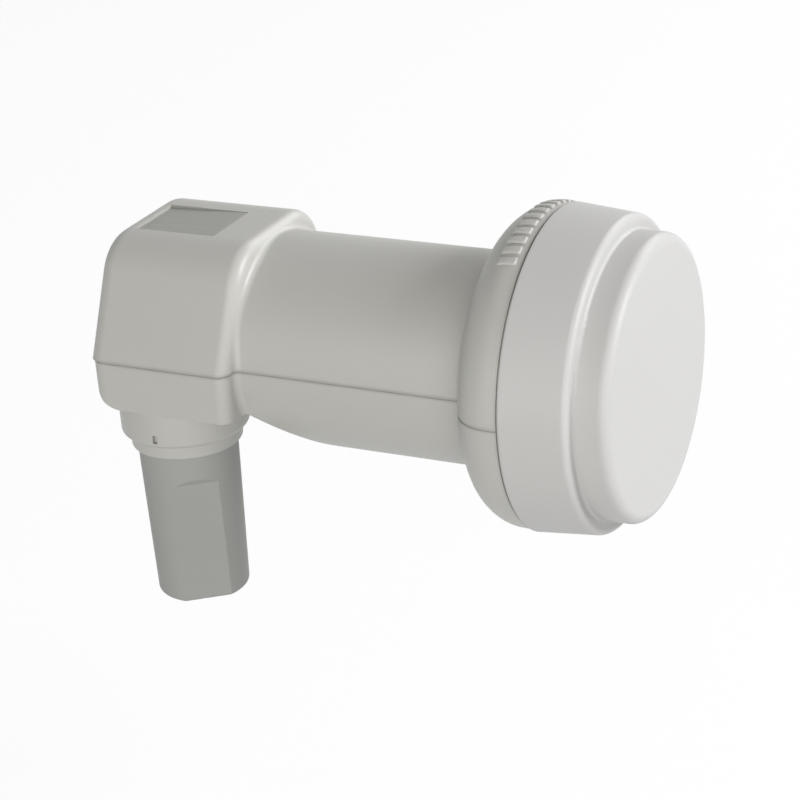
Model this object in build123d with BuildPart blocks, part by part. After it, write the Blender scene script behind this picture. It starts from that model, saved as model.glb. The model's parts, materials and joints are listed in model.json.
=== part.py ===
from build123d import *
import os
from math import cos, radians, sin, sqrt, tan

# Satellite dish converter head: a feed horn and its receiver board in a two-part moulded housing.
# Millimetres. The origin is on the neck's axis, midway along its round length, where a dish arm's clamp
# holds it. +X runs along that axis towards the radome cap, and +Z is up.

# Moulded housing
wall = 2.0
seam_lift = 0.4
seam_gap = 0.3
tongue_height = 1.5
tongue_root = 2.0
tongue_thickness = 1.0
tongue_clearance = 0.15

# Neck and the flange behind the cap
neck_r = 20.0
neck_length = 46.5
flange_r = 29.8
flange_length_share = 1.03
flange_round_share = 0.8
flange_root_share = 0.18
cap_joint_gap = 0.4

# Index ribs for the skew angle, on the flange's rim
index_rib_count = 13
index_rib_step = 5.0
index_rib_length = 3.0
index_rib_width = 1.1
index_rib_height = 0.45
index_rib_setback = 1.3

# Radome cap
cap_proud = 0.3
cap_draft = 1.1
cap_ring_length = 12.4
cap_ring_round = 1.25
cap_step_round = 0.6
cap_step_depth = 2.75
cap_face_length = 6.45
cap_face_round = 2.0
cap_wall = 2.0

# Rear box, upper half and tray
box_length = 30.2
box_half_width = 24.3
box_height = 21.6
box_lean = 25.8
box_top_round = 9.4
box_rear_round = 3.2
box_front_round_share = 0.62
neck_blend_share = 0.36
tray_depth = 9.1
tray_inset = 0.4
tray_rear_round = 6.0
slope_length = 17.5

# Label recess in the box's top
label_length = 17.2
label_width = 13.6
label_setback = 3.6
label_shift = -0.95
label_rear_depth = 0.8
label_front_depth = 0.25
label_thickness = 0.2
label_clearance = 0.2

# Boot collar and lip under the tray
collar_r = 12.45
collar_to_rear = 12.1
collar_to_side = 12.5
collar_drop = 7.1
collar_edge_round = 0.9
lip_r = 10.8
lip_drop = 3.0
lip_wall = 1.5
lip_edge_round = 0.4
weep_slot_width = 0.9
weep_slot_height = 1.7
weep_slot_lift = 1.05
weep_slot_depth = 0.8
weep_slot_angle = -87.2

# Weather boot
boot_clearance = 0.3
boot_r = 9.75
boot_foot_r = 9.0
boot_length = 31.7
boot_spigot_length = 6.0
boot_bore_r = 6.6
boot_flat_top_r = 8.6
boot_flat_foot_r = 7.75
boot_flat_start = 4.6
boot_flat_runout = 1.5
boot_flat_count = 2
boot_flat_angle = -53.5
boot_foot_round = 0.7
boot_floor = 2.0
cable_hole_r = 3.7

# Feed horn and waveguide of the casting
guide_r = 8.75
guide_wall = 1.5
guide_end_setback = 8.2
backshort_wall = 2.0
horn_wall = 1.5
horn_mouth_r = 18.6
horn_mouth_setback = 2.0
plate_thickness = 2.0
plate_seat_depth = 2.4
rim_clearance = 0.35
rim_wall = 2.6
rim_length = 6.0
choke_ring_wall = 1.2
choke_ring_setback = 2.4
choke_ring_length = 9.0
seat_clearance = 0.1
seat_thickness = 1.6
seat_width = 4.0
guide_rib_gap = 1.4
guide_rib_thickness = 1.6

# O-rings
cap_seal_groove_depth = 1.2
cap_seal_groove_width = 1.9
seal_clearance = 0.05
connector_seal_section = 1.5

# Board deck of the casting
deck_rise = 0.75
deck_thickness = 2.0
deck_clearance = 0.4
deck_rim_wall = 1.0
deck_rim_height = 2.0
post_r = 2.0
post_inset = 2.4

# Probes, reflector pin and their insulators
probe_r = 0.6
probe_insulator_r = 2.0
probe_fit = 0.05
probe_depth = 5.2
horizontal_probe_setback = 4.5
probe_spacing = 8.4
probe_to_deck_end = 4.0
probe_block_half = 2.8
probe_wall_gap = 1.2
probe_air_gap = 0.8
probe_ledge = 0.3
probe_bend_r = 1.4
solder_height = 0.4
reflector_r = 1.0
horn_throat_gap = 4.2

# Board, shield cover and screws
board_thickness = 0.8
board_clearance = 0.15
board_hole_clearance = 0.1
cover_thickness = 1.0
can_clearance = 1.7
can_wall = 1.0
can_inset_x = 4.6
can_inset_y = 4.6
screw_r = 1.0
screw_head_r = 1.9
screw_head_height = 1.2
screw_hole_clearance = 0.15
screw_end_gap = 0.4
tuning_screw_r = 1.5
tuning_screw_gap = 1.0
tuning_screw_proud = 0.6

# Parts on the board
resonator_r = 3.0
resonator_height = 2.4
resonator_spacing = 11.0
resonator_share = 0.31
mixer_side = 4.0
mixer_height = 0.9
transistor_length = 1.9
transistor_width = 1.3
transistor_height = 0.8
transistor_spacing = 4.2
transistor_setback = 3.0
transistor_shift = -3.0
transistor_count = 3
regulator_length = 3.5
regulator_width = 6.5
regulator_height = 1.6
regulator_setback = 3.2
regulator_shift = 5.0
capacitor_length = 3.2
capacitor_width = 1.6
capacitor_height = 1.4
capacitor_spacing = 2.8
capacitor_count = 3
capacitor_shift = -4.0

# Connector with its 3/8-32 thread
connector_thread_r = 4.76
connector_thread_length = 11.6
connector_reach = 8.6
connector_shank_r = 5.2
connector_bore_r = 3.2
connector_chamfer = 0.4
connector_fit = 0.05
connector_boss_wall = 1.8
connector_boss_height = 8.4
connector_boss_roof = 2.0
connector_riser_half = 4.0
connector_hole_clearance = 0.15
connector_recess = 1.0
contact_r = 0.9
contact_bore_r = 0.55
contact_bore_depth = 6.0
contact_tail_r = 0.4
contact_sleeve_r = 1.4

# Places that follow from the sizes above
flange_height = flange_r - neck_r
flange_length = flange_length_share * flange_height
flange_round = flange_round_share * flange_height
flange_root_round = flange_root_share * flange_height
flange_back = (neck_length - slope_length) / 2
box_front = flange_back - neck_length
box_rear = box_front - box_length
tray_front = box_front - tray_inset
tray_rear = box_rear + tray_inset
tray_x = (tray_front + tray_rear) / 2
tray_length = tray_front - tray_rear
tray_half = box_half_width - tray_inset
tray_ledge = tray_half - neck_r
box_front_round = box_front_round_share * tray_ledge
neck_blend = neck_blend_share * tray_ledge
label_rise = (label_rear_depth - label_front_depth) / label_length
cap_joint = flange_back + flange_length
flange_front = cap_joint - cap_joint_gap / 2
cap_back = cap_joint + cap_joint_gap / 2
cap_step = cap_joint + cap_ring_length
cap_face = cap_step + cap_face_length
cap_r = flange_r + cap_proud
cap_front_r = cap_r - cap_draft
cap_face_r = cap_front_r - cap_step_depth
cap_bore_r = cap_front_r - cap_wall
neck_bore_r = neck_r - wall
lean_run = tan(radians(box_lean))
lean_wall = wall / cos(radians(box_lean))
tray_bottom = -tray_depth
tray_floor = tray_bottom + wall
slope_fall = (neck_r - tray_depth) / slope_length
collar_x = tray_rear + collar_to_rear
collar_y = collar_to_side - tray_half
collar_bottom = tray_bottom - collar_drop
lip_bottom = collar_bottom - lip_drop
lip_bore_r = lip_r - lip_wall
tongue_half = box_half_width - lean_wall - tongue_height * lean_run - tongue_clearance
tongue_neck_half = sqrt(neck_bore_r**2 - tongue_height**2) - tongue_clearance
collar_axis = Axis((collar_x, collar_y, 0), (0, 0, 1))
collar_plane = Plane((collar_x, collar_y, 0), x_dir=(1, 0, 0), z_dir=(0, -1, 0))
boot_shoulder = lip_bottom - boot_clearance
boot_foot = boot_shoulder - boot_length
boot_top = boot_shoulder + boot_spigot_length
boot_spigot_r = lip_bore_r - boot_clearance
guide_outer_r = guide_r + guide_wall
guide_end = box_front + guide_end_setback
horizontal_probe_x = guide_end + horizontal_probe_setback
reflector_x = horizontal_probe_x + probe_spacing / 2
vertical_probe_x = horizontal_probe_x + probe_spacing
deck_front = vertical_probe_x + probe_to_deck_end
guide_rib_x = deck_front + guide_rib_gap
horn_throat = deck_front + horn_throat_gap
horn_mouth = cap_step - cap_wall - horn_mouth_setback
horn_slope = (horn_mouth_r - guide_r) / (horn_mouth - horn_throat)
plate_back = flange_front - plate_seat_depth
plate_front = plate_back + plate_thickness
rim_r = cap_bore_r - rim_clearance
rim_front = plate_front + rim_length
cap_seal_x = (cap_back + rim_front) / 2
cap_seal_groove_r = rim_r - cap_seal_groove_depth
cap_seal_section = cap_bore_r - cap_seal_groove_r - 2 * seal_clearance
deck_top = guide_outer_r + deck_rise
deck_bottom = deck_top - deck_thickness
deck_rim_top = deck_top + deck_rim_height
cover_top = deck_rim_top + cover_thickness
can_top = box_height - wall - can_clearance
can_ceiling = can_top - can_wall
board_top = deck_top + board_thickness
deck_rear = box_rear + wall + deck_clearance
deck_waist = box_front - wall - deck_clearance
deck_half = box_half_width - cover_top * lean_run - lean_wall - deck_clearance
deck_tongue_half = sqrt(neck_bore_r**2 - cover_top**2) - deck_clearance
post_spacing_x = deck_waist - deck_rear - 2 * post_inset
post_spacing_y = 2 * (deck_half - post_inset)
can_front = deck_waist - can_inset_x
can_rear = deck_rear + can_inset_x
can_half = deck_half - can_inset_y
resonator_x = can_front - resonator_share * (can_front - can_rear)
regulator_x = can_rear + regulator_setback
horizontal_probe_y = guide_r - probe_wall_gap
horizontal_insulator_bottom = sqrt(guide_r**2 - (horizontal_probe_y - probe_insulator_r) ** 2) + probe_ledge
connector_end = lip_bottom - connector_reach
thread_top = connector_end + connector_thread_length
connector_seal_r = connector_shank_r + seal_clearance + connector_seal_section / 2
connector_boss_r = connector_shank_r + connector_boss_wall
boss_bottom = tray_floor + connector_seal_section + 2 * seal_clearance
boss_top = boss_bottom + connector_boss_height
connector_top = boss_top - connector_boss_roof
insulator_bottom = connector_end + connector_recess


def horn_r(x):
    # Radius of the horn's inner wall at x
    return guide_r + (x - horn_throat) * horn_slope


def neck_section(inset, rear):
    # Half-section of the neck and flange, from rear to the cap joint, pulled in by inset
    root = (flange_back + inset, neck_r - inset)
    shoulder = (flange_back + inset, flange_r - inset)
    with BuildSketch(Plane.XY) as section:
        with BuildLine():
            Polyline(
                (rear, 0),
                (rear, neck_r - inset),
                root,
                shoulder,
                (flange_front, flange_r - inset),
                (flange_front, 0),
                close=True,
            )
        make_face()
        fillet(section.vertices().sort_by_distance(root)[0], flange_root_round + inset)
        fillet(section.vertices().sort_by_distance(shoulder)[0], flange_round - inset)
    return section.sketch


def slope_wedge(inset):
    # Room below the neck's flat slope, which starts at the tray's bottom edge, pulled in by inset
    floor = tray_bottom + inset * sqrt(1 + slope_fall**2)
    rear = box_front - 2 * wall
    low = -2 * neck_r
    with BuildSketch(Plane.XZ) as wedge:
        with BuildLine():
            Polyline(
                (rear, floor),
                (box_front, floor),
                (box_front + (floor - low) / slope_fall, low),
                (rear, low),
                close=True,
            )
        make_face()
    return wedge.sketch


def neck_below_seam():
    # Neck and flange up to the middle of the seam
    with BuildPart() as neck:
        revolve(neck_section(0, box_front - wall).rotate(Axis.X, 90), axis=Axis.X)
        split(bisect_by=Plane.XY.offset(seam_lift), keep=Keep.BOTTOM)
    return neck.part


def neck_cavity():
    # Hollow of the lower half of the neck and flange
    with BuildPart() as cavity:
        revolve(neck_section(wall, box_front - 2 * wall), axis=Axis.X)
        extrude(slope_wedge(wall), amount=neck_r, both=True, mode=Mode.SUBTRACT)
    return cavity.part


def neck_junction(shell):
    # Edges where the neck meets the box's front
    neck_face = shell.faces().filter_by(GeomType.CYLINDER).sort_by(SortBy.AREA)[-1]
    return neck_face.edges().filter_by_position(Axis.X, box_front - wall / 4, box_front + wall / 4)


def index_ribs():
    # Ribs that follow the flange's rounded rim
    with BuildPart() as ribs:
        with Locations(Plane.YZ.offset(flange_front - index_rib_setback - index_rib_length / 2)):
            with PolarLocations(
                flange_r,
                index_rib_count,
                start_angle=90 - index_rib_step * (index_rib_count - 1) / 2,
                angular_range=index_rib_step * (index_rib_count - 1),
                endpoint=True,
            ):
                Box(2 * wall, index_rib_width, index_rib_length)
        revolve(neck_section(-index_rib_height, 0), axis=Axis.X, mode=Mode.INTERSECT)
    return ribs.part


def seat_section():
    # Half-section of the rib round the waveguide and the ledge behind the horn's plate
    rib_low = guide_outer_r + seat_clearance
    rib_high = neck_bore_r + wall / 2
    ledge_high = flange_r - wall / 2
    ledge_low = flange_r - wall - seat_width
    ledge_x = plate_back - seat_clearance - seat_thickness / 2
    with BuildSketch(Plane.XY) as section:
        with Locations((guide_rib_x, (rib_low + rib_high) / 2)):
            Rectangle(guide_rib_thickness, rib_high - rib_low)
        with Locations((ledge_x, (ledge_low + ledge_high) / 2)):
            Rectangle(seat_thickness, ledge_high - ledge_low)
    return section.sketch


def box_section(x, inset, lean_inset):
    # Cross-section of the upper box at x, with its leaning sides pulled in by lean_inset
    foot = box_half_width - lean_inset
    height = box_height - inset
    with BuildSketch(Plane.YZ.offset(x)) as section:
        with BuildLine():
            Polyline(
                (-foot, 0),
                (-(foot - height * lean_run), height),
                (foot - height * lean_run, height),
                (foot, 0),
                close=True,
            )
        make_face()
        fillet(section.vertices().group_by(Axis.Y)[-1], box_top_round - inset)
    return section.sketch


def deck_outline(z, inset):
    # Plan of the board deck at height z: wide in the box, with a tongue over the waveguide
    wide_length = deck_waist - deck_rear
    tongue_length = deck_front - deck_waist
    with BuildSketch(Plane.XY.offset(z)) as outline:
        with Locations(((deck_waist + deck_rear) / 2, 0)):
            Rectangle(wide_length - 2 * inset, 2 * (deck_half - inset))
        with Locations(((deck_front + deck_waist) / 2 - inset, 0)):
            Rectangle(tongue_length, 2 * (deck_tongue_half - inset))
    return outline.sketch


def tongue_outline(inset):
    # Plan of the seam tongue inside the box and neck, open towards the flange
    rear = box_rear + wall + tongue_clearance + inset
    front = box_front - wall - tongue_clearance - inset
    with BuildSketch(Plane.XY) as outline:
        with Locations(((front + rear) / 2, 0)):
            Rectangle(front - rear, 2 * (tongue_half - inset))
        with Locations(((flange_back + inset + front) / 2, 0)):
            Rectangle(flange_back + inset - front, 2 * (tongue_neck_half - inset))
    return outline.sketch


def label_section(inset, height):
    # Side view of the room over the label's tilted seat, pulled in by inset
    rear = box_rear + label_setback + inset
    front = box_rear + label_setback + label_length - inset
    rear_floor = box_height - label_rear_depth + inset * label_rise
    front_floor = box_height - label_front_depth - inset * label_rise
    with BuildSketch(Plane.XZ.offset(-label_shift)) as section:
        with BuildLine():
            Polyline(
                (rear, rear_floor),
                (front, front_floor),
                (front, front_floor + height),
                (rear, rear_floor + height),
                close=True,
            )
        make_face()
    return section.sketch


def post_places():
    # Centres of the four cover screws
    return GridLocations(post_spacing_x, post_spacing_y, 2, 2)


def export(builder, name):
    builder.part.label = name
    export_step(builder.part, f"parts/{name}.step")


os.makedirs("parts", exist_ok=True)

# Upper shell: leaning box, upper half of the neck and flange, index ribs and label recess
with BuildPart() as upper_shell:
    extrude(box_section(box_rear, 0, 0), amount=box_length)
    fillet(upper_shell.faces().sort_by(Axis.X)[0].edges().sort_by(Axis.Z)[1:], box_rear_round)
    fillet(upper_shell.faces().sort_by(Axis.X)[-1].edges().sort_by(Axis.Z)[1:], box_front_round)
    revolve(neck_section(0, box_front - wall), axis=Axis.X, revolution_arc=180)
    fillet(neck_junction(upper_shell), neck_blend)
    add(index_ribs())
    extrude(box_section(box_rear + wall, wall, lean_wall), amount=box_length - 2 * wall, mode=Mode.SUBTRACT)
    revolve(neck_section(wall, box_front - 2 * wall), axis=Axis.X, mode=Mode.SUBTRACT)
    revolve(seat_section(), axis=Axis.X)
    extrude(label_section(0, wall), amount=label_width / 2, both=True, mode=Mode.SUBTRACT)
    split(bisect_by=Plane.XY.offset(seam_lift + seam_gap / 2), keep=Keep.TOP)
export(upper_shell, "upper_shell")

# Lower shell: tray, lower half of the neck and flange, boot collar and lip
with BuildPart() as lower_shell:
    with BuildSketch(Plane.XY.offset(seam_lift)) as tray_plan:
        with Locations((tray_x, 0)):
            Rectangle(tray_length, 2 * tray_half)
        fillet(tray_plan.vertices().group_by(Axis.X)[0], box_rear_round)
        fillet(tray_plan.vertices().group_by(Axis.X)[-1], box_front_round)
    extrude(amount=tray_bottom - seam_lift)
    with BuildSketch(Plane.XZ) as tray_side:
        with Locations((tray_x, (seam_lift + tray_bottom) / 2)):
            Rectangle(tray_length, seam_lift - tray_bottom)
        fillet(tray_side.vertices().sort_by_distance((tray_rear, tray_bottom))[0], tray_rear_round)
    extrude(amount=tray_half, both=True, mode=Mode.INTERSECT)
    add(neck_below_seam())
    fillet(neck_junction(lower_shell), neck_blend)
    extrude(slope_wedge(0), amount=neck_r, both=True, mode=Mode.SUBTRACT)
    with BuildSketch(collar_plane) as collar_section:
        with BuildLine():
            Polyline(
                (0, tray_floor),
                (collar_r, tray_floor),
                (collar_r, collar_bottom),
                (lip_r, collar_bottom),
                (lip_r, lip_bottom),
                (0, lip_bottom),
                close=True,
            )
        make_face()
        fillet(collar_section.vertices().sort_by_distance((collar_r, collar_bottom))[0], collar_edge_round)
        fillet(collar_section.vertices().sort_by_distance((lip_r, lip_bottom))[0], lip_edge_round)
    revolve(axis=collar_axis)
    with BuildSketch(Plane.XZ) as tray_cavity:
        with Locations((tray_x, (seam_lift + tray_floor) / 2)):
            Rectangle(tray_length - 2 * wall, seam_lift - tray_floor)
        fillet(tray_cavity.vertices().sort_by_distance((tray_rear, tray_bottom))[0], tray_rear_round - wall)
    extrude(amount=tray_half - wall, both=True, mode=Mode.SUBTRACT)
    add(neck_cavity(), mode=Mode.SUBTRACT)
    revolve(seat_section(), axis=Axis.X)
    with BuildSketch(collar_plane):
        with BuildLine():
            Polyline(
                (0, tray_floor),
                (connector_shank_r + connector_hole_clearance, tray_floor),
                (connector_shank_r + connector_hole_clearance, tray_bottom),
                (lip_bore_r, tray_bottom),
                (lip_bore_r, lip_bottom),
                (0, lip_bottom),
                close=True,
            )
        make_face()
    revolve(axis=collar_axis, mode=Mode.SUBTRACT)
    with Locations(Plane((collar_x, collar_y, collar_bottom + weep_slot_lift + weep_slot_height / 2))):
        with PolarLocations(collar_r, 1, start_angle=weep_slot_angle):
            Box(2 * weep_slot_depth, weep_slot_width, weep_slot_height, mode=Mode.SUBTRACT)
    split(bisect_by=Plane.XY.offset(seam_lift - seam_gap / 2), keep=Keep.BOTTOM)
    with BuildSketch(Plane.XY.offset(-tongue_root)):
        with Locations((tray_x, 0)):
            Rectangle(tray_length - wall, 2 * tray_half - wall)
        with Locations(((flange_back + box_front - wall) / 2, 0)):
            Rectangle(neck_length + wall, 2 * neck_r - wall)
        add(tongue_outline(tongue_thickness), mode=Mode.SUBTRACT)
    extrude(amount=tongue_root + seam_lift - seam_gap / 2)
    with BuildSketch(Plane.XY.offset(-tongue_root)):
        add(tongue_outline(0))
        add(tongue_outline(tongue_thickness), mode=Mode.SUBTRACT)
        with Locations((guide_rib_x, 0)):
            Rectangle(guide_rib_thickness + 2 * tongue_clearance, 2 * neck_r, mode=Mode.SUBTRACT)
    extrude(amount=tongue_root + tongue_height)
export(lower_shell, "lower_shell")

# Radome cap: a stepped cup that closes the horn's mouth
with BuildPart() as radome_cap:
    with BuildSketch(Plane.XY) as cap_section:
        with BuildLine():
            Polyline(
                (cap_back, cap_bore_r),
                (cap_back, cap_r),
                (cap_step, cap_front_r),
                (cap_step, cap_face_r),
                (cap_face, cap_face_r),
                (cap_face, 0),
                (cap_face - cap_wall, 0),
                (cap_face - cap_wall, cap_face_r - cap_wall),
                (cap_step - cap_wall, cap_face_r - cap_wall),
                (cap_step - cap_wall, cap_bore_r),
                close=True,
            )
        make_face()
        fillet(cap_section.vertices().sort_by_distance((cap_step, cap_front_r))[0], cap_ring_round)
        fillet(cap_section.vertices().sort_by_distance((cap_step, cap_face_r))[0], cap_step_round)
        fillet(cap_section.vertices().sort_by_distance((cap_face, cap_face_r))[0], cap_face_round)
    revolve(axis=Axis.X)
export(radome_cap, "radome_cap")

# Seal between the cap's bore and the casting's rim
with BuildPart() as cap_seal:
    with BuildSketch(Plane.XY):
        with Locations((cap_seal_x, cap_bore_r - seal_clearance - cap_seal_section / 2)):
            Circle(cap_seal_section / 2)
    revolve(axis=Axis.X)
export(cap_seal, "cap_seal")

# Weather boot: a sleeve over the connector, with grip flats and a cable hole
with BuildPart() as weather_boot:
    with BuildSketch(collar_plane) as boot_section:
        with BuildLine():
            Polyline(
                (0, boot_top),
                (boot_spigot_r, boot_top),
                (boot_spigot_r, boot_shoulder),
                (boot_r, boot_shoulder),
                (boot_foot_r, boot_foot),
                (0, boot_foot),
                close=True,
            )
        make_face()
    revolve(axis=collar_axis)
    for flat in range(boot_flat_count):
        turn = radians(boot_flat_angle + 360 / boot_flat_count * flat)
        out = Vector(cos(turn), sin(turn), 0)
        with BuildSketch(Plane((collar_x, collar_y, 0), x_dir=out, z_dir=out.cross(Vector(0, 0, 1)))):
            with BuildLine():
                Polyline(
                    (boot_flat_foot_r, boot_foot),
                    (boot_flat_top_r, boot_shoulder - boot_flat_start - boot_flat_runout),
                    (boot_r, boot_shoulder - boot_flat_start),
                    (2 * boot_r, boot_shoulder - boot_flat_start),
                    (2 * boot_r, boot_foot),
                    close=True,
                )
            make_face()
        extrude(amount=boot_r, both=True, mode=Mode.SUBTRACT)
    fillet(weather_boot.faces().sort_by(Axis.Z)[0].edges(), boot_foot_round)
    with BuildSketch(collar_plane):
        with BuildLine():
            Polyline(
                (0, boot_top),
                (boot_bore_r, boot_top),
                (boot_bore_r, boot_foot + boot_floor),
                (cable_hole_r, boot_foot + boot_floor),
                (cable_hole_r, boot_foot),
                (0, boot_foot),
                close=True,
            )
        make_face()
    revolve(axis=collar_axis, mode=Mode.SUBTRACT)
export(weather_boot, "weather_boot")

# Blank label in its recess
with BuildPart() as label:
    film_half = label_width / 2 - label_clearance
    extrude(label_section(label_clearance, label_thickness), amount=film_half, both=True)
export(label, "label")

# Die casting: corrugated horn, round waveguide with its closed end, board deck and connector boss
with BuildPart() as horn_casting:
    with BuildSketch(Plane.XY):
        with BuildLine():
            Polyline(
                (guide_end - backshort_wall, 0),
                (guide_end - backshort_wall, guide_outer_r),
                (horn_throat, guide_outer_r),
                (plate_back, horn_r(plate_back) + horn_wall),
                (plate_back, rim_r),
                (rim_front, rim_r),
                (rim_front, rim_r - rim_wall),
                (plate_front, rim_r - rim_wall),
                (plate_front, horn_r(plate_front) + horn_wall),
                (horn_mouth, horn_mouth_r + horn_wall),
                (horn_mouth, 0),
                close=True,
            )
        make_face()
        with Locations((plate_front + choke_ring_length / 2, rim_r - rim_wall - choke_ring_setback)):
            Rectangle(choke_ring_length, choke_ring_wall)
        with Locations((cap_seal_x, rim_r)):
            Rectangle(cap_seal_groove_width, 2 * cap_seal_groove_depth, mode=Mode.SUBTRACT)
    revolve(axis=Axis.X)
    extrude(deck_outline(deck_bottom, 0), amount=deck_thickness)
    with BuildSketch(Plane.XY.offset(deck_top)):
        add(deck_outline(0, 0))
        add(deck_outline(0, deck_rim_wall), mode=Mode.SUBTRACT)
        with Locations(((deck_waist + deck_rear) / 2, 0)):
            with post_places():
                Circle(post_r)
    extrude(amount=deck_rim_height)
    with Locations((horizontal_probe_x, horizontal_probe_y, deck_bottom / 2)):
        Box(2 * probe_block_half, 2 * probe_block_half, deck_bottom)
    with BuildSketch(Plane.XY.offset(boss_bottom)):
        with Locations((collar_x, collar_y)):
            Circle(connector_boss_r)
    extrude(amount=connector_boss_height)
    riser_low = -deck_half
    riser_high = collar_y + connector_riser_half
    with BuildSketch(Plane.XY.offset(boss_top - connector_boss_roof)):
        with Locations((collar_x, (riser_low + riser_high) / 2)):
            Rectangle(2 * connector_riser_half, riser_high - riser_low)
    extrude(amount=deck_top - boss_top + connector_boss_roof)
    with BuildSketch(Plane.XY):
        with BuildLine():
            Polyline(
                (guide_end, 0),
                (guide_end, guide_r),
                (horn_throat, guide_r),
                (horn_mouth, horn_mouth_r),
                (horn_mouth, 0),
                close=True,
            )
        make_face()
    revolve(axis=Axis.X, mode=Mode.SUBTRACT)
    with BuildSketch(Plane.XY.offset(deck_top)):
        with Locations((vertical_probe_x, 0)):
            Circle(probe_insulator_r + probe_fit)
    extrude(amount=-deck_top, mode=Mode.SUBTRACT)
    with BuildSketch(Plane.XY.offset(deck_top)):
        with Locations((horizontal_probe_x, horizontal_probe_y)):
            Circle(probe_insulator_r + probe_fit)
    extrude(amount=horizontal_insulator_bottom - deck_top, mode=Mode.SUBTRACT)
    with BuildSketch(Plane.XY.offset(deck_top)):
        with Locations((horizontal_probe_x, horizontal_probe_y)):
            Circle(probe_r + probe_air_gap)
    extrude(amount=-deck_top, mode=Mode.SUBTRACT)
    with BuildSketch(Plane.XZ):
        with Locations((reflector_x, 0)):
            Circle(reflector_r + probe_fit)
    extrude(amount=2 * guide_outer_r, both=True, mode=Mode.SUBTRACT)
    with BuildSketch(Plane.XY.offset(boss_bottom)):
        with Locations((collar_x, collar_y)):
            Circle(connector_shank_r + connector_fit)
    extrude(amount=connector_top - boss_bottom, mode=Mode.SUBTRACT)
    with BuildSketch(Plane.XY.offset(connector_top)):
        with Locations((collar_x, collar_y)):
            Circle(contact_sleeve_r + connector_fit)
    extrude(amount=deck_top - connector_top, mode=Mode.SUBTRACT)
    with BuildSketch(Plane.XY.offset(deck_rim_top)):
        with Locations(((deck_waist + deck_rear) / 2, 0)):
            with post_places():
                Circle(screw_r + screw_hole_clearance)
    extrude(amount=-deck_rim_height, mode=Mode.SUBTRACT)
export(horn_casting, "horn_casting")

# Receiver board, seated on the deck
with BuildPart() as circuit_board:
    with BuildSketch(Plane.XY.offset(deck_top)):
        add(deck_outline(0, deck_rim_wall + board_clearance))
        with Locations(((deck_waist + deck_rear) / 2, 0)):
            with post_places():
                Circle(post_r + board_clearance, mode=Mode.SUBTRACT)
        with Locations((vertical_probe_x, 0), (horizontal_probe_x, horizontal_probe_y)):
            Circle(probe_r + board_hole_clearance, mode=Mode.SUBTRACT)
        with Locations((collar_x, collar_y)):
            Circle(contact_tail_r + board_hole_clearance, mode=Mode.SUBTRACT)
    extrude(amount=board_thickness)
export(circuit_board, "circuit_board")

# Shield cover with a raised can over the resonators
with BuildPart() as shield_cover:
    extrude(deck_outline(deck_rim_top, 0), amount=cover_thickness)
    with BuildSketch(Plane.XY.offset(deck_rim_top)):
        with Locations(((can_front + can_rear) / 2, 0)):
            Rectangle(can_front - can_rear, 2 * can_half)
    extrude(amount=can_top - deck_rim_top)
    with BuildSketch(Plane.XY.offset(deck_rim_top)):
        with Locations(((can_front + can_rear) / 2, 0)):
            Rectangle(can_front - can_rear - 2 * can_wall, 2 * (can_half - can_wall))
    extrude(amount=can_ceiling - deck_rim_top, mode=Mode.SUBTRACT)
    with BuildSketch(Plane.XY.offset(can_top)):
        with Locations((resonator_x, 0)):
            with GridLocations(1, resonator_spacing, 1, 2):
                Circle(tuning_screw_r + probe_fit)
        with Locations(((deck_waist + deck_rear) / 2, 0)):
            with post_places():
                Circle(screw_r + screw_hole_clearance)
    extrude(amount=deck_rim_top - can_top, mode=Mode.SUBTRACT)
export(shield_cover, "shield_cover")

# Screws that hold the cover on the deck's posts
with BuildPart() as cover_screws:
    with BuildSketch(Plane.XY.offset(deck_top + screw_end_gap)):
        with Locations(((deck_waist + deck_rear) / 2, 0)):
            with post_places():
                Circle(screw_r)
    extrude(amount=cover_top - deck_top - screw_end_gap)
    with BuildSketch(Plane.XY.offset(cover_top)):
        with Locations(((deck_waist + deck_rear) / 2, 0)):
            with post_places():
                Circle(screw_head_r)
    extrude(amount=screw_head_height)
export(cover_screws, "cover_screws")

# Tuning screws over the resonators
with BuildPart() as tuning_screws:
    with BuildSketch(Plane.XY.offset(board_top + resonator_height + tuning_screw_gap)):
        with Locations((resonator_x, 0)):
            with GridLocations(1, resonator_spacing, 1, 2):
                Circle(tuning_screw_r)
    extrude(amount=can_top + tuning_screw_proud - board_top - resonator_height - tuning_screw_gap)
export(tuning_screws, "tuning_screws")

# Dielectric resonators of the two local oscillators
with BuildPart() as dielectric_resonators:
    with BuildSketch(Plane.XY.offset(board_top)):
        with Locations((resonator_x, 0)):
            with GridLocations(1, resonator_spacing, 1, 2):
                Circle(resonator_r)
    extrude(amount=resonator_height)
export(dielectric_resonators, "dielectric_resonators")

# Mixer chip between the resonators
with BuildPart() as mixer_chip:
    with BuildSketch(Plane.XY.offset(board_top)):
        with Locations((resonator_x, 0)):
            Rectangle(mixer_side, mixer_side)
    extrude(amount=mixer_height)
export(mixer_chip, "mixer_chip")

# Low-noise transistors beside the probes
with BuildPart() as lna_transistors:
    for stage in range(transistor_count):
        stage_x = vertical_probe_x - transistor_setback - stage * transistor_spacing
        with BuildSketch(Plane.XY.offset(board_top)):
            with Locations((stage_x, transistor_shift)):
                Rectangle(transistor_length, transistor_width)
        extrude(amount=transistor_height)
export(lna_transistors, "lna_transistors")

# Voltage regulator
with BuildPart() as voltage_regulator:
    with BuildSketch(Plane.XY.offset(board_top)):
        with Locations((regulator_x, regulator_shift)):
            Rectangle(regulator_length, regulator_width)
    extrude(amount=regulator_height)
export(voltage_regulator, "voltage_regulator")

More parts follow.
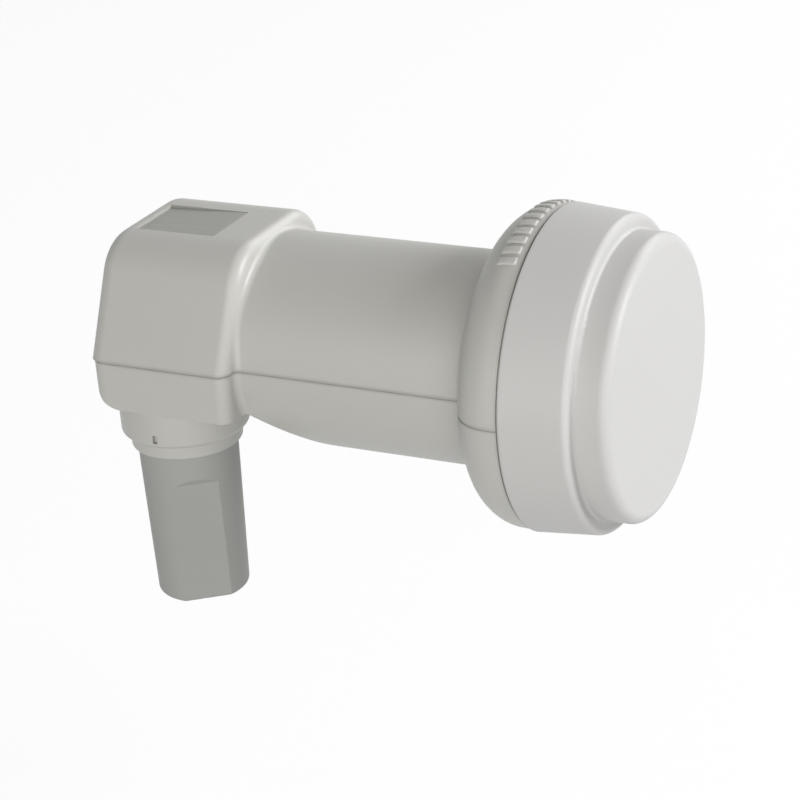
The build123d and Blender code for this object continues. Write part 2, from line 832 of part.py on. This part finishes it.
# Supply filter capacitors
with BuildPart() as filter_capacitors:
    with BuildSketch(Plane.XY.offset(board_top)):
        with Locations((regulator_x, capacitor_shift)):
            with GridLocations(1, capacitor_spacing, 1, capacitor_count):
                Rectangle(capacitor_length, capacitor_width)
    extrude(amount=capacitor_height)
export(filter_capacitors, "filter_capacitors")

# Vertical probe: a straight pin from the board into the waveguide
with BuildPart() as vertical_probe:
    with BuildSketch(Plane.XY.offset(guide_r - probe_depth)):
        with Locations((vertical_probe_x, 0)):
            Circle(probe_r)
    extrude(amount=board_top + solder_height - guide_r + probe_depth)
export(vertical_probe, "vertical_probe")

# Horizontal probe: down beside the waveguide's wall, then across towards its axis
with BuildPart() as horizontal_probe:
    probe_start = (horizontal_probe_x, horizontal_probe_y, board_top + solder_height)
    with BuildLine():
        FilletPolyline(
            probe_start,
            (horizontal_probe_x, horizontal_probe_y, 0),
            (horizontal_probe_x, guide_r - probe_depth, 0),
            radius=probe_bend_r,
        )
    with BuildSketch(Plane(probe_start, z_dir=(0, 0, -1))):
        Circle(probe_r)
    sweep()
export(horizontal_probe, "horizontal_probe")

# Insulators that carry the two probes
with BuildPart() as probe_insulators:
    with BuildSketch(Plane.XY.offset(guide_r)):
        with Locations((vertical_probe_x, 0)):
            Circle(probe_insulator_r)
            Circle(probe_r + probe_fit, mode=Mode.SUBTRACT)
    extrude(amount=deck_top - guide_r)
    with BuildSketch(Plane.XY.offset(horizontal_insulator_bottom)):
        with Locations((horizontal_probe_x, horizontal_probe_y)):
            Circle(probe_insulator_r)
            Circle(probe_r + probe_fit, mode=Mode.SUBTRACT)
    extrude(amount=deck_top - horizontal_insulator_bottom)
export(probe_insulators, "probe_insulators")

# Reflector pin across the waveguide, between the probes
with BuildPart() as reflector_pin:
    with BuildSketch(Plane.XZ):
        with Locations((reflector_x, 0)):
            Circle(reflector_r)
    extrude(amount=guide_outer_r, both=True)
export(reflector_pin, "reflector_pin")

# Connector body with its threaded end
with BuildPart() as connector_body:
    with BuildSketch(collar_plane):
        with BuildLine():
            Polyline(
                (connector_bore_r, connector_end),
                (connector_thread_r - connector_chamfer, connector_end),
                (connector_thread_r, connector_end + connector_chamfer),
                (connector_thread_r, thread_top),
                (connector_shank_r, thread_top),
                (connector_shank_r, connector_top),
                (connector_bore_r, connector_top),
                close=True,
            )
        make_face()
    revolve(axis=collar_axis)
export(connector_body, "connector_body")

# Connector insulator with a thin sleeve up to the board
with BuildPart() as connector_insulator:
    with BuildSketch(collar_plane):
        with BuildLine():
            Polyline(
                (contact_r + connector_fit, insulator_bottom),
                (connector_bore_r - connector_fit, insulator_bottom),
                (connector_bore_r - connector_fit, connector_top),
                (contact_sleeve_r, connector_top),
                (contact_sleeve_r, deck_top),
                (contact_tail_r + connector_fit, deck_top),
                (contact_tail_r + connector_fit, connector_top),
                (contact_r + connector_fit, connector_top),
                close=True,
            )
        make_face()
    revolve(axis=collar_axis)
export(connector_insulator, "connector_insulator")

# Centre contact, hollow at the plug's end, with a tail soldered to the board
with BuildPart() as connector_contact:
    with BuildSketch(collar_plane):
        with BuildLine():
            Polyline(
                (contact_bore_r, insulator_bottom),
                (contact_r, insulator_bottom),
                (contact_r, connector_top),
                (contact_tail_r, connector_top),
                (contact_tail_r, board_top + solder_height),
                (0, board_top + solder_height),
                (0, insulator_bottom + contact_bore_depth),
                (contact_bore_r, insulator_bottom + contact_bore_depth),
                close=True,
            )
        make_face()
    revolve(axis=collar_axis)
export(connector_contact, "connector_contact")

# Seal round the connector, under the casting's boss
with BuildPart() as connector_seal:
    with BuildSketch(collar_plane):
        with Locations((connector_seal_r, tray_floor + seal_clearance + connector_seal_section / 2)):
            Circle(connector_seal_section / 2)
    revolve(axis=collar_axis)
export(connector_seal, "connector_seal")
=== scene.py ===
import json
import math
import bmesh
import bpy
from mathutils import Matrix, Vector


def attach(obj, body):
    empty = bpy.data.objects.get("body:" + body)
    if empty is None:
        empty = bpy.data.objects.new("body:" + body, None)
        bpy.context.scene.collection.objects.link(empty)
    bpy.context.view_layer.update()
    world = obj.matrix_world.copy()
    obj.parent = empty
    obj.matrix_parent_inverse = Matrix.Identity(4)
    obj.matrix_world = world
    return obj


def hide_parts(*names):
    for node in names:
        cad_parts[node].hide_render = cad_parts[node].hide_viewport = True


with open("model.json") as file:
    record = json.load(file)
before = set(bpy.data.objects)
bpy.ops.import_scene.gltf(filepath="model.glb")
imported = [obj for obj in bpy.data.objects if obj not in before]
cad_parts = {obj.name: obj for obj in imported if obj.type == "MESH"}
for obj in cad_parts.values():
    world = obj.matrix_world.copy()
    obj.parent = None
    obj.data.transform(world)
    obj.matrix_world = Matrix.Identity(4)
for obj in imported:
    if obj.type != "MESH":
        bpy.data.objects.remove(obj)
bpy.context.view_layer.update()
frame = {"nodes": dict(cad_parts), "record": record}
print("loaded", len(frame["nodes"]), "solids")

mm = 0.001


class Wire:
    # a socket that can stand in sums
    def __init__(self, tree, socket=None):
        self.tree = tree
        self.socket = socket

    def node(self, kind, settings, sockets, out=0):
        made = self.tree.nodes.new(kind)
        for key, value in settings.items():
            setattr(made, key, value)
        for key, value in sockets.items():
            if isinstance(value, Wire):
                self.tree.links.new(value.socket, made.inputs[key])
            else:
                made.inputs[key].default_value = value
        return Wire(self.tree, made.outputs[out])

    def maths(self, operation, first, second):
        return self.node("ShaderNodeMath", {"operation": operation}, {0: first, 1: second})

    def __add__(self, other):
        return self.maths("ADD", self, other)

    __radd__ = __add__

    def __sub__(self, other):
        return self.maths("SUBTRACT", self, other)

    def __rsub__(self, other):
        return self.maths("SUBTRACT", other, self)

    def __mul__(self, other):
        return self.maths("MULTIPLY", self, other)

    __rmul__ = __mul__

    def __abs__(self):
        return self.maths("ABSOLUTE", self, 0.0)


def newFinish(name):
    material = bpy.data.materials.new(name)
    material.use_nodes = True
    tree = material.node_tree
    shader = next(n for n in tree.nodes if n.type == "BSDF_PRINCIPLED")
    wire = Wire(tree)
    place = wire.node("ShaderNodeTexCoord", {}, {}, "Object")
    return material, shader, wire, place


def feed(shader, socket, wire):
    shader.id_data.links.new(wire.socket, shader.inputs[socket])


def eyeColour(r, g, b):
    # 0-255 as the eye reads it, to the renderer's own scale
    def one(v):
        v = v / 255
        return v / 12.92 if v < 0.04045 else ((v + 0.055) / 1.055) ** 2.4
    return (one(r), one(g), one(b), 1)


def noise(wire, place, scale, detail=2.0):
    return wire.node("ShaderNodeTexNoise", {}, {"Vector": place, "Scale": scale, "Detail": detail}, "Fac")


def mixColour(wire, share, first, second):
    return wire.node("ShaderNodeMix", {"data_type": "RGBA"}, {0: share, 6: first, 7: second}, 2)


def fade(wire, distance, near, far):
    # 1 within near, easing to 0 at far
    sockets = {"Value": distance, "From Min": near, "From Max": far, "To Min": 1.0, "To Max": 0.0}
    return wire.node("ShaderNodeMapRange", {"interpolation_type": "SMOOTHSTEP"}, sockets)


def axisOf(wire, place, axis):
    return wire.node("ShaderNodeSeparateXYZ", {}, {0: place}, axis)


def grain(shader, wire, place, look):
    # fine tool texture: it moves the gloss and the normal together
    fine = noise(wire, place, look["grainScale"])
    spread = look["glossSpread"]
    feed(shader, "Roughness", fine * spread + (look["rough"] - spread / 2))
    sockets = {"Strength": look["bump"], "Distance": look["bumpDepth"] * mm, "Height": fine}
    feed(shader, "Normal", wire.node("ShaderNodeBump", {}, sockets, "Normal"))


# moulded shell: satin, slow clouds in the colour, a darker line along the parting seam and the cap joint,
# part dirt and part painted shade of the grooves
shell = {"colour": eyeColour(179, 178, 172), "cloud": eyeColour(175, 174, 168), "cloudScale": 42,
         "dirtAndShadeColour": eyeColour(152, 150, 144), "seamZ": 0.4, "jointX": 24.594, "dirtAndShadeCore": 0.15,
         "dirtAndShadeReach": 0.75, "patchScale": 160, "patchLeast": 0.45, "patchSpread": 0.5,
         "rough": 0.40, "glossSpread": 0.10, "grainScale": 2300, "bump": 0.45, "bumpDepth": 0.03}


def shellFinish():
    material, shader, wire, place = newFinish("warmGreyShell")
    cloud = noise(wire, place, shell["cloudScale"], detail=3.0)
    body = mixColour(wire, cloud, shell["colour"], shell["cloud"])
    toSeam = abs(axisOf(wire, place, "Z") - shell["seamZ"] * mm)
    toJoint = abs(axisOf(wire, place, "X") - shell["jointX"] * mm)
    near = shell["dirtAndShadeCore"] * mm
    reach = shell["dirtAndShadeReach"] * mm
    patch = noise(wire, place, shell["patchScale"]) * shell["patchSpread"] + shell["patchLeast"]
    # dirt and painted shade: the shell darkens in patches towards the seam and the cap joint
    dirtAndShade = wire.maths("MAXIMUM", fade(wire, toSeam, near, reach), fade(wire, toJoint, near, reach)) * patch
    feed(shader, "Base Color", mixColour(wire, dirtAndShade, body, shell["dirtAndShadeColour"]))
    grain(shader, wire, place, shell)
    return material


# radome cap: whiter plastic than the shell, with a fainter darker line at its joint, part dirt and part
# painted shade of the groove
radome = {"colour": eyeColour(188, 187, 184), "cloud": eyeColour(184, 183, 180), "cloudScale": 30,
          "dirtAndShadeColour": eyeColour(156, 154, 150), "jointX": 24.594, "dirtAndShadeCore": 0.15, "dirtAndShadeReach": 0.6,
          "dirtAndShadeShare": 0.7, "sheen": 0.3, "rough": 0.42, "glossSpread": 0.10, "grainScale": 2600,
          "bump": 0.35, "bumpDepth": 0.03}


def radomeFinish():
    material, shader, wire, place = newFinish("whiteRadome")
    cloud = noise(wire, place, radome["cloudScale"], detail=4.0)
    body = mixColour(wire, cloud, radome["colour"], radome["cloud"])
    toJoint = abs(axisOf(wire, place, "X") - radome["jointX"] * mm)
    # dirt and painted shade: the cap darkens towards its joint
    dirtAndShade = fade(wire, toJoint, radome["dirtAndShadeCore"] * mm, radome["dirtAndShadeReach"] * mm) * radome["dirtAndShadeShare"]
    feed(shader, "Base Color", mixColour(wire, dirtAndShade, body, radome["dirtAndShadeColour"]))
    shader.inputs["Specular IOR Level"].default_value = radome["sheen"]
    grain(shader, wire, place, radome)
    return material


# boot: duller, darker plastic with a coarser spark texture
boot = {"colour": eyeColour(160, 160, 156), "cloud": eyeColour(155, 155, 152), "cloudScale": 55,
        "sheen": 0.15, "rough": 0.5, "glossSpread": 0.12, "grainScale": 1700, "bump": 0.55, "bumpDepth": 0.04}


def bootFinish():
    material, shader, wire, place = newFinish("greyBoot")
    cloud = noise(wire, place, boot["cloudScale"], detail=3.0)
    feed(shader, "Base Color", mixColour(wire, cloud, boot["colour"], boot["cloud"]))
    shader.inputs["Specular IOR Level"].default_value = boot["sheen"]
    grain(shader, wire, place, boot)
    return material


# blank label: silver-grey film, drawn along its length, a little paler at its cut edge
film = {"colour": eyeColour(154, 155, 148), "streak": eyeColour(145, 146, 139), "drawn": (60, 1500, 60),
        "edge": eyeColour(168, 168, 162), "middle": (-50.0, -0.95), "half": (8.4, 6.6), "edgeWidth": 0.5,
        "sheen": 0.2, "rough": 0.34, "glossSpread": 0.12, "grainScale": 1.0, "bump": 0.08, "bumpDepth": 0.02}


def filmFinish():
    material, shader, wire, place = newFinish("blankLabel")
    drawn = wire.node("ShaderNodeMapping", {}, {"Vector": place, "Scale": film["drawn"]})
    streak = noise(wire, drawn, film["grainScale"], detail=3.0)
    body = mixColour(wire, streak, film["colour"], film["streak"])
    inX = film["half"][0] * mm - abs(axisOf(wire, place, "X") - film["middle"][0] * mm)
    inY = film["half"][1] * mm - abs(axisOf(wire, place, "Y") - film["middle"][1] * mm)
    rim = fade(wire, wire.maths("MINIMUM", inX, inY), 0.0, film["edgeWidth"] * mm)
    feed(shader, "Base Color", mixColour(wire, rim, body, film["edge"]))
    shader.inputs["Specular IOR Level"].default_value = film["sheen"]
    grain(shader, wire, drawn, film)
    return material


# what the metals share, and what the small parts of plastic, rubber and ceramic share
metalLook = {"toneScale": 90, "dullShare": 0.86, "metallic": 1.0, "glossSpread": 0.16, "bumpDepth": 0.03}
plainLook = {"toneScale": 120, "dullShare": 0.9, "metallic": 0.0, "glossSpread": 0.12, "grainScale": 1500,
             "bump": 0.12, "bumpDepth": 0.03}


def toned(name, colour, look):
    material, shader, wire, place = newFinish(name)
    tone = noise(wire, place, look["toneScale"], detail=3.0)
    dull = tuple(look["dullShare"] * v for v in colour[:3]) + (1,)
    feed(shader, "Base Color", mixColour(wire, tone, colour, dull))
    shader.inputs["Metallic"].default_value = look["metallic"]
    grain(shader, wire, place, look)
    return material


def metal(name, colour, rough, bump, grainScale):
    return toned(name, colour, {**metalLook, "rough": rough, "bump": bump, "grainScale": grainScale})


def plain(name, colour, rough):
    return toned(name, colour, {**plainLook, "rough": rough})


finishes = {
    "housing_plastic": shellFinish(),
    "radome_plastic": radomeFinish(),
    "boot_plastic": bootFinish(),
    "label_film": filmFinish(),
    "seal_rubber": plain("blackSeal", eyeColour(38, 38, 38), rough=0.75),
    "die_cast_metal": metal("castAlloy", eyeColour(206, 206, 208), rough=0.45, bump=0.3, grainScale=1300),
    "board_laminate": plain("greenLaminate", eyeColour(46, 110, 64), rough=0.4),
    "screw_steel": metal("platedScrew", eyeColour(196, 196, 200), rough=0.3, bump=0.1, grainScale=2000),
    "screw_brass": metal("turnedBrass", eyeColour(214, 180, 104), rough=0.3, bump=0.1, grainScale=2000),
    "resonator_ceramic": plain("creamCeramic", eyeColour(232, 224, 206), rough=0.55),
    "chip_package": plain("blackPackage", eyeColour(40, 40, 42), rough=0.5),
    "capacitor_ceramic": plain("tanCeramic", eyeColour(190, 160, 124), rough=0.5),
    "probe_brass": metal("goldPin", eyeColour(222, 188, 116), rough=0.25, bump=0.05, grainScale=2000),
    "insulator_plastic": plain("whiteInsulator", eyeColour(226, 226, 222), rough=0.45),
    "plated_metal": metal("nickelPlate", eyeColour(194, 190, 183), rough=0.34, bump=0.05, grainScale=1800),
}
for part in frame["record"]["subparts"]:
    solid = frame["nodes"][part["node"]]
    solid.data.materials.clear()
    solid.data.materials.append(finishes[part["material_slot"]])
print("finishes", len(finishes))

# connector body with its cut thread, in place of the plain solid
port = {"axis": (-49.7, -11.4), "end": -27.8, "threadTop": -16.2, "top": 0.9, "boreR": 3.2, "shankR": 5.2,
        "crestR": 4.76, "crestHalf": 0.06, "rootR": 4.27, "rootSink": 0.08, "ridgeShare": 0.96,
        "chamfer": 0.45, "mouth": 0.3, "pitch": 25.4 / 32, "runIn": 0.5, "sides": 48, "sharp": 28}


def vertsOf(geometry):
    return [v for v in geometry if isinstance(v, bmesh.types.BMVert)]


def closedOutline(mesh, corners):
    ring = [mesh.verts.new(corner) for corner in corners]
    edges = [mesh.edges.new(pair) for pair in zip(ring, ring[1:] + ring[:1])]
    return ring, edges


def spinOutline(mesh, corners, centre, axis, steps):
    # full turn of a closed outline
    ring, edges = closedOutline(mesh, corners)
    bmesh.ops.spin(mesh, geom=ring + edges, cent=centre, axis=axis, dvec=(0, 0, 0),
                   angle=2 * math.pi, steps=steps, use_merge=True)


def setPiece(mesh, name, slot, sharp):
    # takes a closed mesh in millimetres, in place; edges that turn by more than sharp degrees stay crisp
    bmesh.ops.recalc_face_normals(mesh, faces=mesh.faces)
    if mesh.calc_volume(signed=True) < 0:
        bmesh.ops.reverse_faces(mesh, faces=mesh.faces[:])
    bmesh.ops.scale(mesh, vec=(mm, mm, mm), verts=mesh.verts)
    for face in mesh.faces:
        face.smooth = True
    for edge in mesh.edges:
        edge.smooth = edge.calc_face_angle(0) < math.radians(sharp)
    data = bpy.data.meshes.new(name)
    mesh.to_mesh(data)
    mesh.free()
    piece = bpy.data.objects.new(name, data)
    bpy.context.scene.collection.objects.link(piece)
    data.materials.append(finishes[slot])
    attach(piece, "housing")
    print(name, len(data.polygons), "faces")
    return piece


def cutThread(mesh, middle):
    # one ridge wound round the core, closed at both ends
    turns = (port["threadTop"] - port["end"] - 2 * port["runIn"]) / port["pitch"] - 1
    start = port["end"] + port["runIn"] + port["pitch"] / 2
    half = port["pitch"] / 2 * port["ridgeShare"]
    sunk = port["rootR"] - port["rootSink"]
    crest = port["crestR"]
    outline = [(sunk, -half), (crest, -port["crestHalf"]), (crest, port["crestHalf"]), (sunk, half)]
    ring, edges = closedOutline(mesh, [(middle[0] + r, middle[1], start + z) for r, z in outline])
    steps = round(turns * port["sides"])
    climb = port["pitch"] / port["sides"]
    made = bmesh.ops.spin(mesh, geom=ring + edges, cent=(*middle, 0), axis=(0, 0, 1), dvec=(0, 0, climb),
                          angle=2 * math.pi * steps / port["sides"], steps=steps, use_merge=False)
    bmesh.ops.contextual_create(mesh, geom=ring)
    bmesh.ops.contextual_create(mesh, geom=vertsOf(made["geom_last"]))


def buildPort():
    mesh = bmesh.new()
    middle = port["axis"]
    mouth = port["mouth"]
    outline = [
        (port["boreR"] + mouth, port["end"]),
        (port["crestR"] - port["chamfer"], port["end"]),
        (port["rootR"], port["end"] + mouth),
        (port["rootR"], port["threadTop"] - mouth),
        (port["crestR"], port["threadTop"]),
        (port["shankR"], port["threadTop"]),
        (port["shankR"], port["top"]),
        (port["boreR"], port["top"]),
        (port["boreR"], port["end"] + mouth),
    ]
    corners = [(middle[0] + r, middle[1], z) for r, z in outline]
    spinOutline(mesh, corners, (*middle, 0), (0, 0, 1), port["sides"])
    cutThread(mesh, middle)
    piece = setPiece(mesh, "threadedPort", "plated_metal", port["sharp"])
    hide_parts("connector_body")


buildPort()

# lands that close the seam and the cap joint a little below the surface, so that both read as shallow grooves
land = {"seamLow": 0.2, "seamHigh": 0.6, "seamDepth": 0.14, "mergeWithin": 0.001, "jointBack": 24.35,
        "jointFront": 24.84, "jointR": 29.5, "jointInnerR": 28.7, "sides": 256, "sharp": 40}


def buildSeamLand():
    # section of the lower shell just below the seam, pulled in and raised through it
    mesh = bmesh.new()
    mesh.from_mesh(frame["nodes"]["lower_shell"].data)
    bmesh.ops.scale(mesh, vec=(1 / mm, 1 / mm, 1 / mm), verts=mesh.verts)
    bmesh.ops.remove_doubles(mesh, verts=mesh.verts, dist=land["mergeWithin"])
    everything = mesh.verts[:] + mesh.edges[:] + mesh.faces[:]
    bmesh.ops.bisect_plane(mesh, geom=everything, plane_co=(0, 0, land["seamLow"]), plane_no=(0, 0, 1),
                           clear_outer=True, clear_inner=True)
    bmesh.ops.triangle_fill(mesh, edges=mesh.edges[:], use_beauty=True, normal=(0, 0, 1))
    rim = bmesh.ops.inset_region(mesh, faces=mesh.faces[:], thickness=land["seamDepth"],
                                 use_boundary=True, use_even_offset=True)
    bmesh.ops.delete(mesh, geom=rim["faces"], context="FACES")
    raised = bmesh.ops.extrude_face_region(mesh, geom=mesh.faces[:], use_keep_orig=True)
    bmesh.ops.translate(mesh, verts=vertsOf(raised["geom"]), vec=(0, 0, land["seamHigh"] - land["seamLow"]))
    setPiece(mesh, "seamLand", "housing_plastic", land["sharp"])


def buildJointLand():
    mesh = bmesh.new()
    corners = [(x, r, 0) for x, r in (
        (land["jointBack"], land["jointInnerR"]),
        (land["jointBack"], land["jointR"]),
        (land["jointFront"], land["jointR"]),
        (land["jointFront"], land["jointInnerR"]),
    )]
    spinOutline(mesh, corners, (0, 0, 0), (1, 0, 0), land["sides"])
    setPiece(mesh, "jointLand", "housing_plastic", land["sharp"])


buildSeamLand()
buildJointLand()

# soft flanks round the index ribs, which stand square in the solid: the foot is below the rounded rim,
# and each pair is how far in and how far up a stage of the flank goes
flank = {"arcX": 22.34, "arcR": 21.96, "round": 7.84, "foot": -0.104, "back": 19.754, "front": 23.334,
         "halfWidth": 0.84, "skirt": (0.12, 0.43), "soft": (0.16, 0.12), "cuts": 6, "count": 13, "step": 5.0,
         "sharp": 60}


def buildRibFlanks():
    mesh = bmesh.new()
    reach = flank["round"] + flank["foot"]
    row = []
    for cut in range(flank["cuts"] + 1):
        x = flank["back"] + (flank["front"] - flank["back"]) * cut / flank["cuts"]
        behind = max(flank["arcX"] - x, 0)
        r = flank["arcR"] + math.sqrt(reach * reach - behind * behind)
        row.append(mesh.verts.new((x, -flank["halfWidth"], r)))
    edges = [mesh.edges.new(pair) for pair in zip(row, row[1:])]
    wide = bmesh.ops.extrude_edge_only(mesh, edges=edges)
    bmesh.ops.translate(mesh, verts=vertsOf(wide["geom"]), vec=(0, 2 * flank["halfWidth"], 0))
    foot = mesh.faces[:]
    mesh.normal_update()
    if foot[0].normal.z < 0:
        bmesh.ops.reverse_faces(mesh, faces=foot)
    for inward, up in (flank["skirt"], flank["soft"]):
        bmesh.ops.inset_region(mesh, faces=foot, thickness=inward, depth=up, use_boundary=True,
                               use_even_offset=True)
    bmesh.ops.holes_fill(mesh, edges=[e for e in mesh.edges if e.is_boundary], sides=0)
    first = mesh.verts[:] + mesh.edges[:] + mesh.faces[:]
    half = flank["step"] * (flank["count"] - 1) / 2
    for rib in range(flank["count"]):
        copy = bmesh.ops.duplicate(mesh, geom=first)["geom"]
        turn = math.radians(rib * flank["step"] - half)
        bmesh.ops.rotate(mesh, cent=(0, 0, 0), matrix=Matrix.Rotation(turn, 3, "X"), verts=vertsOf(copy))
    bmesh.ops.delete(mesh, geom=vertsOf(first), context="VERTS")
    setPiece(mesh, "ribFlanks", "housing_plastic", flank["sharp"])


buildRibFlanks()

# studio: a floor below the boot's lowest place, white to the camera and a mid tone to the light it sends back
studio = {"floorZ": -0.097, "floorHalf": 4.0, "floorRough": 0.9, "floorShade": (0.44, 0.44, 0.44, 1),
          "seenShade": (0.95, 0.95, 0.95, 1), "whiteShare": 0.9, "sky": 0.2}


def whiteRays(wire):
    # 1 for rays that should meet white: the camera's, and those that metal and glass send on
    rays = wire.tree.nodes.new("ShaderNodeLightPath").outputs
    kinds = ("Is Camera Ray", "Is Glossy Ray", "Is Transmission Ray")
    seen = sum(Wire(wire.tree, rays[kind]) for kind in kinds)
    return wire.maths("MINIMUM", seen, 1.0)


def layFloor():
    mesh = bmesh.new()
    bmesh.ops.create_grid(mesh, x_segments=1, y_segments=1, size=studio["floorHalf"])
    bmesh.ops.translate(mesh, verts=mesh.verts, vec=(0, 0, studio["floorZ"]))
    data = bpy.data.meshes.new("floor")
    mesh.to_mesh(data)
    mesh.free()
    floor = bpy.data.objects.new("floor", data)
    bpy.context.scene.collection.objects.link(floor)
    material, shader, wire, place = newFinish("paleFloor")
    shader.inputs["Roughness"].default_value = studio["floorRough"]
    seen = whiteRays(wire)
    feed(shader, "Base Color", mixColour(wire, seen, studio["floorShade"], studio["seenShade"]))
    glow = wire.node("ShaderNodeEmission", {}, {"Color": (1, 1, 1, 1), "Strength": 1.0})
    body = Wire(material.node_tree, shader.outputs[0])
    both = wire.node("ShaderNodeMixShader", {}, {0: seen * studio["whiteShare"], 1: body, 2: glow})
    # clear from below, so that the underside can be looked at
    below = wire.node("ShaderNodeNewGeometry", {}, {}, "Backfacing")
    clear = wire.node("ShaderNodeBsdfTransparent", {}, {})
    oneSided = wire.node("ShaderNodeMixShader", {}, {0: below, 1: both, 2: clear})
    output = next(n for n in material.node_tree.nodes if n.type == "OUTPUT_MATERIAL")
    material.node_tree.links.new(oneSided.socket, output.inputs["Surface"])
    data.materials.append(material)


def paintSky():
    world = bpy.data.worlds.new("studioSky")
    bpy.context.scene.world = world
    world.use_nodes = True
    tree = world.node_tree
    wire = Wire(tree)
    backdrop = next(n for n in tree.nodes if n.type == "BACKGROUND")
    level = whiteRays(wire) * (1 - studio["sky"]) + studio["sky"]
    backdrop.inputs["Color"].default_value = (1, 1, 1, 1)
    tree.links.new(level.socket, backdrop.inputs["Strength"])


# lamps, in metres: name, place, aim, width and height, watts, tint
lamps = [
    ("frontSoft", (0.05, -0.90, 0.28), (-0.01, 0, -0.01), (1.0, 0.7), 3.7, (1.0, 1.0, 1.0)),
    ("frontSink", (0.20, -0.92, -0.02), (0.0, 0, -0.01), (1.0, 0.12), 2.0, (1.0, 1.0, 1.0)),
    ("cornerStrip", (0.62, -0.76, 0.06), (0.0, 0, -0.01), (0.5, 0.28), 1.9, (1.0, 1.0, 1.0)),
    ("capSoft", (0.96, 0.20, 0.45), (0.0, 0, 0.0), (0.45, 0.4), 10.2, (0.95, 0.955, 1.0)),
    ("rearSoft", (0.25, 0.80, 0.52), (0.0, 0, 0.0), (0.7, 0.5), 4.2, (1.0, 1.0, 1.0)),
]


def hangLamps():
    for name, place, aim, (wide, high), watts, tint in lamps:
        data = bpy.data.lights.new(name, "AREA")
        data.shape = "RECTANGLE"
        data.size = wide
        data.size_y = high
        data.energy = watts
        data.color = tint
        lamp = bpy.data.objects.new(name, data)
        bpy.context.scene.collection.objects.link(lamp)
        lamp.location = place
        lamp.rotation_euler = (Vector(aim) - Vector(place)).to_track_quat("-Z", "Y").to_euler()


# camera fitted to the photograph
shot = {"azimuth": 27.243, "elevation": 24.182, "roll": -4.219, "distance": 432.9, "focalPixels": 2286.87,
        "frame": 800, "sensor": 36.0, "clipStart": 0.01, "target": (-8.8, 0.0, -11.0)}


def setCamera():
    az, el, roll = (math.radians(shot[k]) for k in ("azimuth", "elevation", "roll"))
    back = Vector((math.sin(az) * math.cos(el), -math.cos(az) * math.cos(el), math.sin(el)))
    right = (-back).cross(Vector((0, 0, 1))).normalized()
    up = right.cross(-back)
    turnedRight = math.cos(roll) * right + math.sin(roll) * up
    turnedUp = -math.sin(roll) * right + math.cos(roll) * up
    place = (Vector(shot["target"]) + back * shot["distance"]) * mm
    data = bpy.data.cameras.new("camera")
    data.sensor_width = shot["sensor"]
    data.lens = shot["focalPixels"] * data.sensor_width / shot["frame"]
    data.clip_start = shot["clipStart"]
    camera = bpy.data.objects.new("camera", data)
    bpy.context.scene.collection.objects.link(camera)
    turn = Matrix((turnedRight, turnedUp, back)).transposed().to_4x4()
    camera.matrix_world = Matrix.Translation(place) @ turn
    bpy.context.scene.camera = camera


layFloor()
paintSky()
hangLamps()
setCamera()
bpy.context.scene.view_settings.view_transform = "Standard"
print("studio ready")
